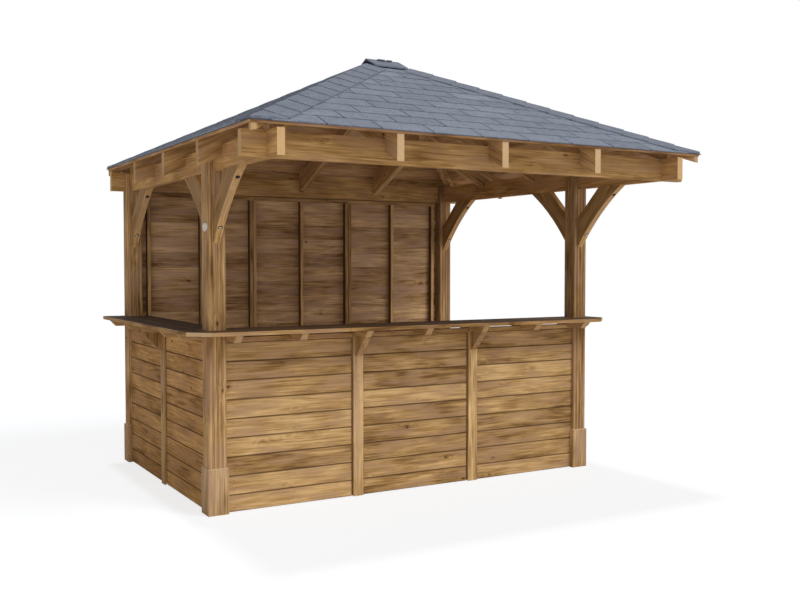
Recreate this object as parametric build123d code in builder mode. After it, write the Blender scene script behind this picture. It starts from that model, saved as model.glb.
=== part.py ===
from build123d import *
from math import radians, sqrt, tan
import os

os.makedirs("parts", exist_ok=True)

# An outdoor garden bar: four posts under a hipped roof that reaches forward over the drinkers,
# a full back wall, half-height panels with a counter in front and at the left, and an open right.
# Millimetres. X runs left to right, Y from front to back, Z up from the ground.

# Posts and their plinths
post_size = 115.0
post_spacing_x = 2867.0
post_spacing_y = 1887.0
post_arris = 4.0
post_groove_count = 3
post_groove_depth = 4.0
front_cheek_rise = 90.0
back_cheek_rise = 135.0
plinth_board = 9.0
plinth_height = 290.0
plinth_bevel = 5.0

# Ring beams
beam_thickness = 45.0
beam_depth = 145.0
beam_underside = 2110.0
front_beam_reach = 892.0

# Braces, measured along the post and along the beam
brace_thickness = 45.0
brace_drop_inner = 214.0
brace_drop_outer = 435.0
brace_reach_inner = 225.0
brace_reach_outer = 456.0
brace_hollow = 30.0

# Roof
roof_pitch = 25.0
eave_overhang = 152.0
back_overhang = 54.0
tail_setback = 9.0
rafter_thickness = 45.0
rafter_plumb_depth = 152.0
rafter_over_beam = 80.0
blocking_thickness = 22.0
hip_thickness = 45.0
hip_plumb_depth = 90.0
hip_tail_depth = 40.0
ridge_board_thickness = 45.0
ridge_board_depth = 145.0
deck_thickness = 18.0
shingle_thickness = 5.0
shingle_butt = 4.0
shingle_exposure = 140.0
shingle_overhang = 6.0
hip_cap_half_width = 150.0
hip_cap_thickness = 6.0
hip_cap_gap = 6.0
ridge_cap_lap = 42.0
ridge_cap_half_width = 140.0
ridge_cap_thickness = 10.0

# Wall panels
panel_setback = 21.0
panel_foot = 3.0
cladding_thickness = 16.0
cladding_gap = 3.0
board_pitch = 119.0
board_groove = 5.0
stud_width = 45.0
stud_depth = 45.0
back_rail_gap = 6.0
bay_count = 3
side_bay_count = 2
strip_width = 72.0
strip_thickness = 16.0
panel_cap_thickness = 30.0

# Counter
counter_top = 1140.0
counter_thickness = 25.0
counter_left_overhang = 160.0
counter_front_overhang = 190.0
counter_right_overhang = 110.0
counter_back_overhang = 20.0
counter_corner_cut = 123.0
counter_front_inset = 180.0
counter_left_inset = 170.0
counter_nosing = 4.0
joist_thickness = 45.0
joist_depth = 45.0
joist_clearance = 24.0
joist_setback = 17.0
joist_bevel = 42.0
joist_tail = 120.0
end_cleat_reach = 94.0
bracket_thickness = 45.0
bracket_height = 128.0
bracket_projection = 125.0
bracket_toe = 15.0

# Posts and beams in plan: the ring of beams sits off centre over the posts, towards the front
slope = tan(radians(roof_pitch))
half_beam = beam_thickness / 2
post_x = post_spacing_x / 2
half_width = post_x + half_beam + eave_overhang
half_depth = (back_overhang + beam_thickness + post_spacing_y + front_beam_reach + eave_overhang) / 2
back_post_y = half_depth - back_overhang - half_beam
front_post_y = back_post_y - post_spacing_y
front_beam_y = front_post_y - front_beam_reach
half_post = post_size / 2
plinth_reach = half_post + plinth_board

# Heights of the roof planes
beam_top = beam_underside + beam_depth
beam_lap = beam_underside + beam_depth / 2
eave_underside = beam_top + rafter_over_beam - eave_overhang * slope
deck_plumb = deck_thickness * sqrt(1 + slope ** 2)
shingle_plumb = (shingle_thickness + shingle_butt) * sqrt(1 + slope ** 2)
hip_cap_plumb = hip_cap_thickness * sqrt(1 + slope ** 2)
ridge_cap_plumb = ridge_cap_thickness * sqrt(1 + slope ** 2)
ridge_half = half_width - half_depth

# Counter and panels
counter_underside = counter_top - counter_thickness
joist_foot = counter_underside - joist_depth
cap_top = counter_underside - joist_clearance
panel_top = cap_top - panel_cap_thickness
panel_face = half_post - panel_setback
panel_inner_x = post_x - half_post
counter_left = -post_x - half_post - counter_left_overhang
counter_right = post_x + half_post + counter_right_overhang
counter_front = front_post_y - half_post - counter_front_overhang
counter_back = back_post_y + half_post + counter_back_overhang

# The origin lies on the ground under the middle of the whole, and the counter reaches furthest left
eave_reach = half_width + shingle_overhang
middle_x = -(min(counter_left, -eave_reach) + eave_reach) / 2


def plan(height):
    """The level plane at a height."""
    return Plane(origin=(middle_x, 0, height))


def front_view(y):
    """The upright plane that faces the front, at a distance y."""
    return Plane(origin=(middle_x, y, 0), x_dir=(1, 0, 0), z_dir=(0, -1, 0))


def side_view(x):
    """The upright plane that faces the right, at a distance x."""
    return Plane(origin=(middle_x + x, 0, 0), x_dir=(0, 1, 0), z_dir=(1, 0, 0))


def timber(x, y, z, mode=Mode.ADD):
    """A squared timber, or its housing, that fills these ranges of x, y and z."""
    with BuildSketch(plan(z[0])) as section:
        with Locations(((x[0] + x[1]) / 2, (y[0] + y[1]) / 2)):
            Rectangle(x[1] - x[0], y[1] - y[0])
    extrude(section.sketch, amount=z[1] - z[0], mode=mode)


def around(centre, half):
    """The range that reaches half to each side of a centre."""
    return (centre - half, centre + half)


def outline(plane, points, amount, both=False, mode=Mode.ADD):
    """Push a closed outline of corner points out from a plane."""
    with BuildSketch(plane) as face:
        with BuildLine():
            Polyline(*points, close=True)
        make_face()
    extrude(face.sketch, amount=amount, both=both, mode=mode)


def write(piece, name):
    """Label a finished piece and write its file."""
    piece.label = name
    export_step(piece, f"parts/{name}.step")


side_beam_xs = (-post_x, post_x)
post_places = {
    "post_front_left": (-post_x, front_post_y, front_cheek_rise),
    "post_front_right": (post_x, front_post_y, front_cheek_rise),
    "post_back_left": (-post_x, back_post_y, back_cheek_rise),
    "post_back_right": (post_x, back_post_y, back_cheek_rise),
}

# Posts, grooved down every face where their laminations meet, and forked at the top so that the
# beams drop between their cheeks
groove_turn = sqrt(2) * post_groove_depth
for post_name, (x, y, cheek_rise) in post_places.items():
    with BuildPart() as post:
        timber(around(x, half_post), around(y, half_post), (0, beam_underside + cheek_rise))
        chamfer(post.edges().filter_by(Axis.Z), post_arris)
        with BuildSketch(plan(0)) as grooves:
            for groove in range(post_groove_count):
                across = post_size * (groove + 1) / (post_groove_count + 1) - half_post
                with Locations((x + across, y - half_post), (x + across, y + half_post),
                               (x - half_post, y + across), (x + half_post, y + across)):
                    Rectangle(groove_turn, groove_turn, rotation=45)
        extrude(grooves.sketch, amount=beam_underside + cheek_rise, mode=Mode.SUBTRACT)
        housing_z = (beam_underside, beam_underside + cheek_rise)
        timber(around(x, half_beam), around(y, half_post), housing_z, Mode.SUBTRACT)
        if y == back_post_y:
            timber(around(x, half_post), around(y, half_beam), housing_z, Mode.SUBTRACT)
    write(post.part, post_name)

# Side beams, halved on top where the front and back beams cross them
tail_y = half_depth - tail_setback
tail_x = half_width - tail_setback
for beam_name, x in zip(("beam_left", "beam_right"), side_beam_xs):
    with BuildPart() as side_beam:
        timber(around(x, half_beam), (-tail_y, tail_y), (beam_underside, beam_top))
        for y in (front_beam_y, back_post_y):
            timber(around(x, half_beam), around(y, half_beam), (beam_lap, beam_top), Mode.SUBTRACT)
    write(side_beam.part, beam_name)

# Front and back beams, halved below
for beam_name, y in (("beam_front", front_beam_y), ("beam_back", back_post_y)):
    with BuildPart() as cross_beam:
        timber((-tail_x, tail_x), around(y, half_beam), (beam_underside, beam_top))
        for x in side_beam_xs:
            lap_z = (beam_underside, beam_lap)
            timber(around(x, half_beam), around(y, half_beam), lap_z, Mode.SUBTRACT)
    write(cross_beam.part, beam_name)


def brace(x, y, direction):
    """A curved brace from a post's face to the underside of the side beam."""
    foot = y + direction * half_post
    lower = (foot, beam_underside - brace_drop_outer)
    upper = (foot, beam_underside - brace_drop_inner)
    near = (foot + direction * brace_reach_inner, beam_underside)
    far = (foot + direction * brace_reach_outer, beam_underside)
    with BuildSketch(side_view(x)) as face:
        with BuildLine():
            Polyline(lower, upper, near, far)
            SagittaArc(far, lower, -direction * brace_hollow)
        make_face()
    extrude(face.sketch, amount=brace_thickness / 2, both=True)


for brace_name, x in zip(("braces_left", "braces_right"), side_beam_xs):
    with BuildPart() as braces:
        brace(x, front_post_y, -1)
        brace(x, front_post_y, 1)
        brace(x, back_post_y, -1)
    write(braces.part, brace_name)


def under_deck(inward):
    """The height of the deck's underside at a distance inward from the eave."""
    return eave_underside + inward * slope


def roof_wedge(reach_x, reach_y, low, lift, mode):
    """The hipped space below a roof plane that lies lift above the deck's underside."""
    for plane, reach, half in (
        (side_view(0), reach_y, half_depth),
        (front_view(0), reach_x, half_width),
    ):
        edge = under_deck(half - reach) + lift
        peak = under_deck(half) + lift
        corners = [(-reach, low), (reach, low), (reach, edge), (0, peak), (-reach, edge)]
        outline(plane, corners, half_width + half_depth, both=True, mode=mode)


def slope_field(side, clearance):
    """The plan of one slope, kept a clearance away from the hip lines."""
    step = clearance * sqrt(2)
    reach = eave_reach + step
    if side in ("front", "back"):
        facing = -1 if side == "front" else 1
        edge = facing * (reach - ridge_half)
        near = max(ridge_board_thickness / 2, step - ridge_half) if step else 0
        top = near + ridge_half - step
        eave = [(-reach + step, edge), (reach - step, edge)]
        if top > 0:
            return eave + [(top, facing * near), (-top, facing * near)]
        return eave + [(0, facing * near)]
    facing = -1 if side == "left" else 1
    half = reach - ridge_half - step
    return [(facing * reach, -half), (facing * reach, half), (facing * (ridge_half + step), 0)]


slope_sides = ("front", "back", "left", "right")
slope_extent = {"front": half_depth, "back": half_depth, "left": half_width, "right": half_width}
slope_facing = {"front": -1, "back": 1, "left": -1, "right": 1}


def slope_section(side, along, points, amount, both=True):
    """Push an upright section, given as (inward, height) points, along one slope."""
    facing = slope_facing[side]
    extent = slope_extent[side]
    turned = [(facing * (extent - inward), height) for inward, height in points]
    plane = side_view(along) if side in ("front", "back") else front_view(along)
    outline(plane, turned, amount, both=both)


def quarter_points(start, end):
    """The three places that divide a span into quarters."""
    return [start + (end - start) * share / 4 for share in (1, 2, 3)]


# Rafters: notched over the beams, cut plumb at the tails and bevelled against the hips
beam_inward = {"front": eave_overhang, "back": back_overhang, "left": eave_overhang,
               "right": eave_overhang}
full_height = beam_top + half_width
cross_places = quarter_points(-post_x, post_x)
for side in slope_sides:
    if side in ("front", "back"):
        rafter_places = cross_places
    else:
        rafter_places = quarter_points(front_beam_y, back_post_y)
    notch_start = beam_inward[side]
    notch_end = notch_start + beam_thickness
    extent = slope_extent[side]
    tail_foot = under_deck(tail_setback) - rafter_plumb_depth
    profile = [
        (tail_setback, tail_foot),
        (tail_setback, under_deck(tail_setback)),
        (extent, under_deck(extent)),
        (extent, under_deck(extent) - rafter_plumb_depth),
        (notch_end, under_deck(notch_end) - rafter_plumb_depth),
        (notch_end, beam_top),
        (notch_start, beam_top),
        (notch_start, under_deck(notch_start) - rafter_plumb_depth),
    ]
    with BuildPart() as rafters:
        for place in rafter_places:
            slope_section(side, place, profile, rafter_thickness / 2)
        outline(plan(0), slope_field(side, hip_thickness / 2), full_height, mode=Mode.INTERSECT)
    write(rafters.part, f"rafters_{side}")

# Blocking on the back beam, which closes the roof between the rafters and the hips
corner_cut = hip_thickness / 2 * sqrt(2)
with BuildPart() as blocking:
    timber((-tail_x, tail_x), around(back_post_y, blocking_thickness / 2), (beam_top, full_height))
    roof_wedge(tail_x, tail_y, 0, 0, Mode.INTERSECT)
    for place in cross_places:
        rafter_x = around(place, rafter_thickness / 2)
        timber(rafter_x, around(back_post_y, half_beam), (beam_top, full_height), Mode.SUBTRACT)
    for facing_x in (-1, 1):
        hip_reach = 2 * (half_depth - back_post_y)
        hip_strip = [
            (facing_x * half_width - corner_cut, half_depth),
            (facing_x * half_width + corner_cut, half_depth),
            (facing_x * (half_width - hip_reach) + corner_cut, half_depth - hip_reach),
            (facing_x * (half_width - hip_reach) - corner_cut, half_depth - hip_reach),
        ]
        outline(plan(beam_top), hip_strip, full_height, mode=Mode.SUBTRACT)
write(blocking.part, "roof_blocking")

# Hip rafters: from the corners of the eave to the ends of the ridge, backed to both slopes
hip_slope = slope / sqrt(2)
for side_y in ("front", "back"):
    for side_x in ("left", "right"):
        facing_x = slope_facing[side_x]
        facing_y = slope_facing[side_y]
        corner = Vector(middle_x + facing_x * half_width, facing_y * half_depth, 0)
        inward = Vector(-facing_x, -facing_y, 0).normalized()
        hip_plane = Plane(origin=corner, x_dir=inward, z_dir=inward.cross(Vector(0, 0, 1)))
        run = half_depth * sqrt(2)
        bearing = eave_overhang * sqrt(2)
        over = rafter_plumb_depth
        underside = [
            (0, eave_underside - hip_tail_depth),
            (bearing, under_deck(eave_overhang) - hip_tail_depth),
            (bearing, under_deck(eave_overhang) - hip_plumb_depth),
            (run, under_deck(half_depth) - hip_plumb_depth),
        ]
        upper = [(run, under_deck(half_depth) + over), (0, eave_underside + over)]
        with BuildPart() as hip:
            outline(hip_plane, underside + upper, hip_thickness / 2, both=True)
            ridge_x = facing_x * ridge_half
            end = [
                (ridge_x, 0),
                (facing_x * eave_reach, 0),
                (facing_x * eave_reach, facing_y * eave_reach),
                (ridge_x, facing_y * eave_reach),
            ]
            outline(plan(0), end, full_height, mode=Mode.INTERSECT)
            roof_wedge(tail_x, tail_y, 0, 0, Mode.INTERSECT)
            for x in side_beam_xs:
                timber(around(x, half_beam), (-tail_y, tail_y), (0, beam_top), Mode.SUBTRACT)
            for y in (front_beam_y, back_post_y):
                timber((-tail_x, tail_x), around(y, half_beam), (0, beam_top), Mode.SUBTRACT)
        write(hip.part, f"hip_{side_y}_{side_x}")

# Ridge board
with BuildPart() as ridge_board:
    ridge_z = (under_deck(half_depth) - ridge_board_depth, under_deck(half_depth))
    timber((-ridge_half, ridge_half), around(0, ridge_board_thickness / 2), ridge_z)
    roof_wedge(tail_x, tail_y, 0, 0, Mode.INTERSECT)
write(ridge_board.part, "ridge_board")

# Roof boarding and shingles, one piece a slope, mitred at the hips
course = shingle_exposure / sqrt(1 + slope ** 2)
butt_plumb = shingle_butt * sqrt(1 + slope ** 2)
for side in slope_sides:
    extent = slope_extent[side]
    with BuildPart() as deck:
        deck_section = [
            (0, under_deck(0)),
            (extent, under_deck(extent)),
            (extent, under_deck(extent) + deck_plumb),
            (0, under_deck(0) + deck_plumb),
        ]
        slope_section(side, 0, deck_section, eave_reach)
        outline(plan(0), slope_field(side, 0), full_height, mode=Mode.INTERSECT)
    write(deck.part, f"roof_deck_{side}")

    thin = shingle_plumb - butt_plumb
    teeth = []
    inward = -shingle_overhang
    while inward < extent:
        upper_end = min(inward + course, extent)
        teeth.append((inward, under_deck(inward) + deck_plumb + shingle_plumb))
        teeth.append((upper_end, under_deck(upper_end) + deck_plumb + thin))
        inward = inward + course
    base = [
        (extent, under_deck(extent) + deck_plumb),
        (-shingle_overhang, under_deck(-shingle_overhang) + deck_plumb),
    ]
    with BuildPart() as shingles:
        slope_section(side, 0, teeth + base, eave_reach)
        outline(plan(0), slope_field(side, 0), full_height, mode=Mode.INTERSECT)
    write(shingles.part, f"shingles_{side}")


# Hip caps: bent shingles over the four hips, from the eave to the ends of the ridge
cap_lift = deck_plumb + shingle_plumb
eave_reach_y = eave_reach - ridge_half
cap_step = hip_cap_half_width * sqrt(2)
with BuildPart() as under_caps:
    timber(around(0, eave_reach), around(0, eave_reach_y), (0, full_height))
    roof_wedge(eave_reach, eave_reach_y, 0, cap_lift, Mode.INTERSECT)
with BuildPart() as hip_caps:
    for facing_x in (-1, 1):
        for facing_y in (-1, 1):
            strip = [
                (eave_reach - cap_step, eave_reach_y),
                (eave_reach, eave_reach_y),
                (eave_reach, eave_reach_y - cap_step),
                (ridge_half + hip_cap_gap + cap_step, hip_cap_gap),
                (ridge_half, hip_cap_gap),
                (ridge_half, cap_step),
            ]
            turned = [(facing_x * x, facing_y * y) for x, y in strip]
            outline(plan(0), turned, full_height)
    roof_wedge(eave_reach, eave_reach_y, 0, cap_lift + hip_cap_plumb, Mode.INTERSECT)
    add(under_caps.part, mode=Mode.SUBTRACT)
write(hip_caps.part, "hip_caps")

# Ridge cap: one raised bent piece over the short ridge, open at its ends
with BuildPart() as ridge_cap:
    top = under_deck(half_depth) + cap_lift + hip_cap_plumb
    fall = ridge_cap_half_width * slope
    cap_section = [
        (-ridge_cap_half_width, top - fall),
        (0, top),
        (ridge_cap_half_width, top - fall),
        (ridge_cap_half_width, top - fall + ridge_cap_plumb),
        (0, top + ridge_cap_plumb),
        (-ridge_cap_half_width, top - fall + ridge_cap_plumb),
    ]
    outline(side_view(0), cap_section, ridge_half + ridge_cap_lap, both=True)
write(ridge_cap.part, "ridge_cap")


def bays(start, end, count):
    """The ranges of the bays that divide a span."""
    width = (end - start) / count
    return [(start + width * index, start + width * (index + 1)) for index in range(count)]


def boarding(span, low, high, side, face):
    """One panel of grooved level boards, set out from the top, with its outer face at a distance."""
    outer, inner = face
    points = [(inner, high), (outer, high)]
    level = high - board_pitch
    turn = (inner - outer) / abs(inner - outer)
    while level > low + board_groove:
        points += [(outer, level + board_groove), (outer + turn * board_groove, level),
                   (outer, level - board_groove)]
        level = level - board_pitch
    points += [(outer, low), (inner, low)]
    middle = (span[0] + span[1]) / 2
    plane = front_view(middle) if side == "left" else side_view(middle)
    outline(plane, points, (span[1] - span[0] - cladding_gap) / 2, both=True)


back_face = back_post_y + panel_face
front_face = front_post_y - panel_face
left_face = -post_x - panel_face
front_bays = bays(-panel_inner_x, panel_inner_x, bay_count)
left_bays = bays(front_post_y + half_post, back_post_y - half_post, side_bay_count)
wall_heights = {"front": (panel_foot, panel_top), "left": (panel_foot, panel_top),
                "back": (panel_foot, beam_underside)}
wall_bays = {"front": front_bays, "back": front_bays, "left": left_bays}
wall_faces = {
    "front": (front_face, front_face + cladding_thickness),
    "back": (back_face, back_face - cladding_thickness),
    "left": (left_face, left_face + cladding_thickness),
}


def wall_timber(side, along, across, z, mode=Mode.ADD):
    """A wall's timber: along runs with the wall, across through its thickness."""
    across = (min(across), max(across))
    if side == "left":
        timber(across, along, z, mode)
    else:
        timber(along, across, z, mode)


def wall_depth(side):
    """The range from a wall's outer face to the inner face of its studs."""
    outer, inner = wall_faces[side]
    turn = (inner - outer) / abs(inner - outer)
    return (outer, inner + turn * stud_depth)


# Plinths: bevelled boards round the foot of each post, cut away where a wall panel meets the post
with BuildPart() as plinths:
    for x, y, cheek_rise in post_places.values():
        timber(around(x, plinth_reach), around(y, plinth_reach), (0, plinth_height))
    upper_faces = plinths.faces().filter_by(Axis.Z).group_by(Axis.Z)[-1]
    chamfer(upper_faces.edges(), plinth_bevel)
    for x, y, cheek_rise in post_places.values():
        timber(around(x, half_post), around(y, half_post), (0, plinth_height), Mode.SUBTRACT)
    for side in wall_faces:
        along = (wall_bays[side][0][0], wall_bays[side][-1][1])
        wall_timber(side, along, wall_depth(side), (0, plinth_height), Mode.SUBTRACT)
write(plinths.part, "post_plinths")

# Wall panels: boarding outside, and studs and rails inside
for side in ("front", "left", "back"):
    low, high = wall_heights[side]
    frame_across = (wall_faces[side][1], wall_depth(side)[1])
    with BuildPart() as cladding:
        for bay in wall_bays[side]:
            boarding(bay, low, high, side, wall_faces[side])
    write(cladding.part, f"cladding_{side}")

    rail_top = high - back_rail_gap if side == "back" else high
    stud_z = (low + stud_width, rail_top - stud_width)
    with BuildPart() as studs:
        for start, end in wall_bays[side]:
            middle = (start + end) / 2
            half_gap = cladding_gap / 2
            wall_timber(side, (start + half_gap, start + half_gap + stud_width), frame_across, stud_z)
            wall_timber(side, around(middle, stud_width / 2), frame_across, stud_z)
            wall_timber(side, (end - half_gap - stud_width, end - half_gap), frame_across, stud_z)
    write(studs.part, f"studs_{side}")

    with BuildPart() as rails:
        for start, end in wall_bays[side]:
            along = (start + cladding_gap / 2, end - cladding_gap / 2)
            wall_timber(side, along, frame_across, (low, low + stud_width))
            wall_timber(side, along, frame_across, (rail_top - stud_width, rail_top))
    write(rails.part, f"rails_{side}")

# Cover strips over the joints between panels
with BuildPart() as strips:
    for side in ("front", "left", "back"):
        outer, inner = wall_faces[side]
        turn = (outer - inner) / abs(inner - outer)
        strip_top = beam_underside if side == "back" else joist_foot
        for start, end in wall_bays[side][1:]:
            across = (outer, outer + turn * strip_thickness)
            wall_timber(side, around(start, strip_width / 2), across, (panel_foot, strip_top))
write(strips.part, "cover_strips")

# Capping boards along the tops of the low panels
with BuildPart() as panel_caps:
    for side in ("front", "left"):
        along = (wall_bays[side][0][0], wall_bays[side][-1][1])
        wall_timber(side, along, wall_depth(side), (panel_top, cap_top))
write(panel_caps.part, "panel_caps")

# Counter with cut corners: the front piece passes round both front posts, and the left one runs
# from the cut corner past the back post
post_outer = post_x + half_post
post_front = front_post_y - half_post
joint_x = counter_left + counter_corner_cut
cut_y = counter_front + counter_corner_cut
inner_y = post_front + counter_front_inset
inner_x = -post_outer + counter_left_inset
with BuildPart() as counter_front_piece:
    front_corners = [
        (joint_x, counter_front),
        (counter_right - counter_corner_cut, counter_front),
        (counter_right, cut_y),
        (counter_right, inner_y),
        (joint_x, inner_y),
    ]
    outline(plan(counter_underside), front_corners, counter_thickness)
    front_edges = counter_front_piece.edges().filter_by(Axis.X).group_by(Axis.Y)[0]
    fillet(front_edges, counter_nosing)
    for x in side_beam_xs:
        housing_z = (counter_underside, counter_top)
        timber(around(x, half_post), around(front_post_y, half_post), housing_z, Mode.SUBTRACT)
write(counter_front_piece.part, "counter_front")

with BuildPart() as counter_left_piece:
    left_corners = [
        (counter_left, cut_y),
        (joint_x, counter_front),
        (joint_x, inner_y),
        (inner_x, inner_y),
        (inner_x, back_post_y - half_post),
        (-post_outer, back_post_y - half_post),
        (-post_outer, counter_back),
        (counter_left, counter_back),
    ]
    outline(plan(counter_underside), left_corners, counter_thickness)
    left_edges = counter_left_piece.edges().filter_by(Axis.Y).group_by(Axis.X)[0]
    fillet(left_edges, counter_nosing)
write(counter_left_piece.part, "counter_left")

# Joists carry the counter over the capping boards and the cover strips, and their outer ends are
# bevelled
joist_outer = {"front": counter_front + joist_setback, "left": counter_left + joist_setback}


def joist(side, middle):
    """One joist across a wall's capping board, centred at a distance along the wall."""
    face, inner = wall_depth(side)
    section = [
        (face + joist_tail, counter_underside),
        (face + joist_tail, joist_foot),
        (inner, joist_foot),
        (inner, cap_top),
        (face, cap_top),
        (face, joist_foot),
        (joist_outer[side] + joist_bevel, joist_foot),
        (joist_outer[side], counter_underside),
    ]
    plane = front_view(middle) if side == "left" else side_view(middle)
    outline(plane, section, joist_thickness / 2, both=True)


with BuildPart() as joists:
    half_joist = joist_thickness / 2
    for side in ("front", "left"):
        for start, end in wall_bays[side]:
            joist(side, (start + end) / 2)
        for start, end in wall_bays[side][1:]:
            joist(side, start)
    joist("front", -panel_inner_x + half_joist)
    joist("front", panel_inner_x - half_joist)
    joist("left", inner_y)
    joist("left", back_post_y - half_post - half_joist)
write(joists.part, "counter_battens")

# A short cleat under the counter's end beside the front right post
with BuildPart() as cleats:
    end_cleat = [
        (post_outer, joist_foot),
        (post_outer + end_cleat_reach - joist_bevel, joist_foot),
        (post_outer + end_cleat_reach, counter_underside),
        (post_outer, counter_underside),
    ]
    outline(front_view(front_post_y), end_cleat, joist_thickness / 2, both=True)
write(cleats.part, "counter_cleats")

# Brackets under the joists, on the cover strips
with BuildPart() as brackets:
    bracket_corners = [
        (0, joist_foot),
        (bracket_projection, joist_foot),
        (bracket_projection, joist_foot - bracket_toe),
        (bracket_toe, joist_foot - bracket_height),
        (0, joist_foot - bracket_height),
    ]
    strip_face_y = front_face - strip_thickness
    for start, end in front_bays[1:]:
        turned = [(strip_face_y - out, height) for out, height in bracket_corners]
        outline(side_view(start), turned, bracket_thickness / 2, both=True)
    strip_face_x = left_face - strip_thickness
    for start, end in left_bays[1:]:
        turned = [(strip_face_x - out, height) for out, height in bracket_corners]
        outline(front_view(start), turned, bracket_thickness / 2, both=True)
write(brackets.part, "counter_brackets")
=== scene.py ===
from math import cos, pi, radians, sin, sqrt, tan

import bmesh
import bpy
from mathutils import Matrix, Vector


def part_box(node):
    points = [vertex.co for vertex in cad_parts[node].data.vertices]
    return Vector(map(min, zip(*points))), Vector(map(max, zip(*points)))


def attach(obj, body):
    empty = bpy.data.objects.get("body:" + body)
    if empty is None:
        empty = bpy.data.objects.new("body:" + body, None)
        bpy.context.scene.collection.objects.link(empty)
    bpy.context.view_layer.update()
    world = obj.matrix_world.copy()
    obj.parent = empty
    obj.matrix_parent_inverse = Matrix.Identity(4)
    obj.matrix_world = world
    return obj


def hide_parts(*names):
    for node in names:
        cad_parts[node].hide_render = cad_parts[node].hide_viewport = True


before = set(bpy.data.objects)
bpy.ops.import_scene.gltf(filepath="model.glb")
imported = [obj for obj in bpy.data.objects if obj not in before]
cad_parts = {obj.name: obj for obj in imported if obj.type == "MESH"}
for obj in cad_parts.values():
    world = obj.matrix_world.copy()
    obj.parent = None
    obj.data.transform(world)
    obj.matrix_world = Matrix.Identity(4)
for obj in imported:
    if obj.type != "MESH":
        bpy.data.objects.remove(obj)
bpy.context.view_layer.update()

# Viewpoint
# The picture is taken at eye level from beyond the front left corner, looking to the right and
# a little down, with a short telephoto lens.
left_post_low, left_post_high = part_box("post_front_left")
right_post_low, right_post_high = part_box("post_front_right")
roof_middle_x = (left_post_low.x + right_post_high.x) / 2
eye_left_of_middle = 3.4218
eye_in_front = 6.1701
eye_height = 1.5465
view_turn = 30.0621
view_dip = 2.1378
lens_mm = 43.51
camera_data = bpy.data.cameras.new("viewpoint")
camera_data.lens = lens_mm
camera = bpy.data.objects.new("viewpoint", camera_data)
camera.location = (roof_middle_x - eye_left_of_middle, -eye_in_front, eye_height)
camera.rotation_euler = (radians(90 - view_dip), 0, radians(-view_turn))
bpy.context.collection.objects.link(camera)
bpy.context.scene.camera = camera
bpy.context.scene.view_settings.view_transform = "Standard"


# Posts and plinths
# The posts are glued up from planed laths, with painted shade along each joint, and stand in low
# boarded plinths. All the timber is softwood, pressure treated to a warm brown, with knots.
class Wire:
    """One socket of a finish or of a geometry tree, which can be added, multiplied or fed on."""

    def __init__(self, tree, socket=None):
        self.tree = tree
        self.socket = socket

    def make(self, kind, settings, feeds, out=0):
        """Add a node: its settings first, then the values or links of its sockets."""
        node = self.tree.nodes.new(kind)
        for name, value in settings.items():
            if name != "stops":
                setattr(node, name, value)
        for index, (place, colour) in enumerate(settings.get("stops", ())):
            stops = node.color_ramp.elements
            stop = stops[index] if index < 2 else stops.new(place)
            stop.position = place
            stop.color = (*colour, 1)
        for name, value in feeds.items():
            if isinstance(value, Wire):
                self.tree.links.new(value.socket, node.inputs[name])
            else:
                node.inputs[name].default_value = value
        return Wire(self.tree, node.outputs[out])

    def sum(self, operation, first, second=0.0):
        """Work out one step of arithmetic."""
        return self.make("ShaderNodeMath", {"operation": operation}, {0: first, 1: second})

    def __add__(self, other):
        return self.sum("ADD", self, other)

    def __sub__(self, other):
        return self.sum("SUBTRACT", self, other)

    def __rsub__(self, other):
        return self.sum("SUBTRACT", other, self)

    def __mul__(self, other):
        return self.sum("MULTIPLY", self, other)

    def __truediv__(self, other):
        return self.sum("DIVIDE", self, other)

    __radd__ = __add__
    __rmul__ = __mul__

    def split(self):
        """Take a vector apart into its three parts."""
        apart = self.make("ShaderNodeSeparateXYZ", {}, {0: self})
        return [Wire(self.tree, socket) for socket in apart.socket.node.outputs]

    def blend(self, factor, under, over):
        """Lay one colour over another by a factor."""
        return self.make("ShaderNodeMix", {"data_type": "RGBA"}, {0: factor, 6: under, 7: over}, 2)

    def ramp(self, low, high):
        """Run from 0 to 1 smoothly between two values of this socket."""
        return self.make("ShaderNodeMapRange", {"interpolation_type": "SMOOTHSTEP"},
                         {"Value": self, "From Min": low, "From Max": high})


def blank_finish(name):
    """A new finish with its shader, ready to be wired."""
    finish = bpy.data.materials.new(name)
    finish.use_nodes = True
    shader = finish.node_tree.nodes["Principled BSDF"]
    return finish, Wire(finish.node_tree), shader


def plug(finish, wire, shader, socket):
    """Link a wire to one of the shader's own sockets."""
    finish.node_tree.links.new(wire.socket, shader.inputs[socket])


grain_turns = {
    "x": (0, 0, 0), "y": (0, 0, -90), "z": (0, 90, 0), "front": (-25, 0, -90), "back": (25, 0, -90),
    "left": (0, 25, 0), "right": (0, -25, 0), "front_left": (0, 0, -45), "back_right": (0, 0, -45),
    "front_right": (0, 0, 45), "back_left": (0, 0, 45)}
pale_wood = (0.74, 0.47, 0.215)
middle_wood = (0.44, 0.252, 0.095)
dark_wood = (0.16, 0.076, 0.024)
rosy_wood = (0.47, 0.28, 0.158, 1)
knot_wood = (0.085, 0.036, 0.014, 1)
sawn_end = (0.68, 0.47, 0.26, 1)
top_shade_wood = (0.036, 0.022, 0.018, 1)
edge_shade = (0.05, 0.022, 0.008, 1)
side_shade = (0.07, 0.032, 0.011, 1)
lath_joint_shade = (0.06, 0.026, 0.01, 1)
plank_steps = (7.0, 3.0, 5.0)
knot_bend = (0.02, 0.012, 0.012)
knot_scale = 8.0
ring_count = 13
middling_tone = 0.965
laths_per_side = 4
lath_width = (left_post_high.x - left_post_low.x) / laths_per_side
front_post_y = (left_post_low.y + left_post_high.y) / 2
back_post_low, back_post_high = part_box("post_back_left")
back_post_y = (back_post_low.y + back_post_high.y) / 2
post_reach = roof_middle_x - (left_post_low.x + left_post_high.x) / 2


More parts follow.
